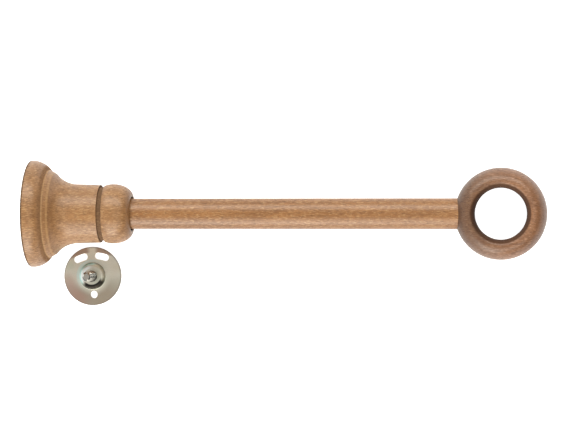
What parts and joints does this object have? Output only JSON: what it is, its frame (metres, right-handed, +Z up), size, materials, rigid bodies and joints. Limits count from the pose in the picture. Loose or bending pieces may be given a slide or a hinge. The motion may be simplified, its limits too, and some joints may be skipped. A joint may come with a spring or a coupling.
{
  "type": "curtain pole bracket",
  "caption": "Turned wooden curtain pole bracket: bell base, dowel arm and pole ring, laid out beside its round steel wall plate with a threaded stud.",
  "frame": {"origin": "centre of the base's back face, which stands against the wall in use", "axes": "+X along the arm from the base to the pole ring, dipping 3.61 degrees because the bracket lies on its bell and ring; +Z up off the bench it lies on; the wall plate lies on the -Y side"},
  "size_m": [0.3041, 0.0865, 0.0628],
  "materials": {
    "base_wood": "stained beech, satin lacquer",
    "arm_wood": "stained beech, satin lacquer",
    "ring_wood": "stained beech, satin lacquer, a shade darker",
    "insert_steel": "zinc plated",
    "plate_steel": "zinc plated, yellow passivated",
    "stud_steel": "zinc plated"
  },
  "bodies": {
    "bracket": {"bell_base": "base_wood", "arm": "arm_wood", "pole_ring": "ring_wood", "threaded_insert": "insert_steel"},
    "wall_fixing": {"wall_plate": "plate_steel", "plate_stud": "stud_steel"}
  },
  "joints": [
    {"name": "plate_lift", "type": "slide", "parent": "bracket", "child": "wall_fixing", "axis": [0, 0, 1], "range_m": [0, 0.08]}
  ]
}
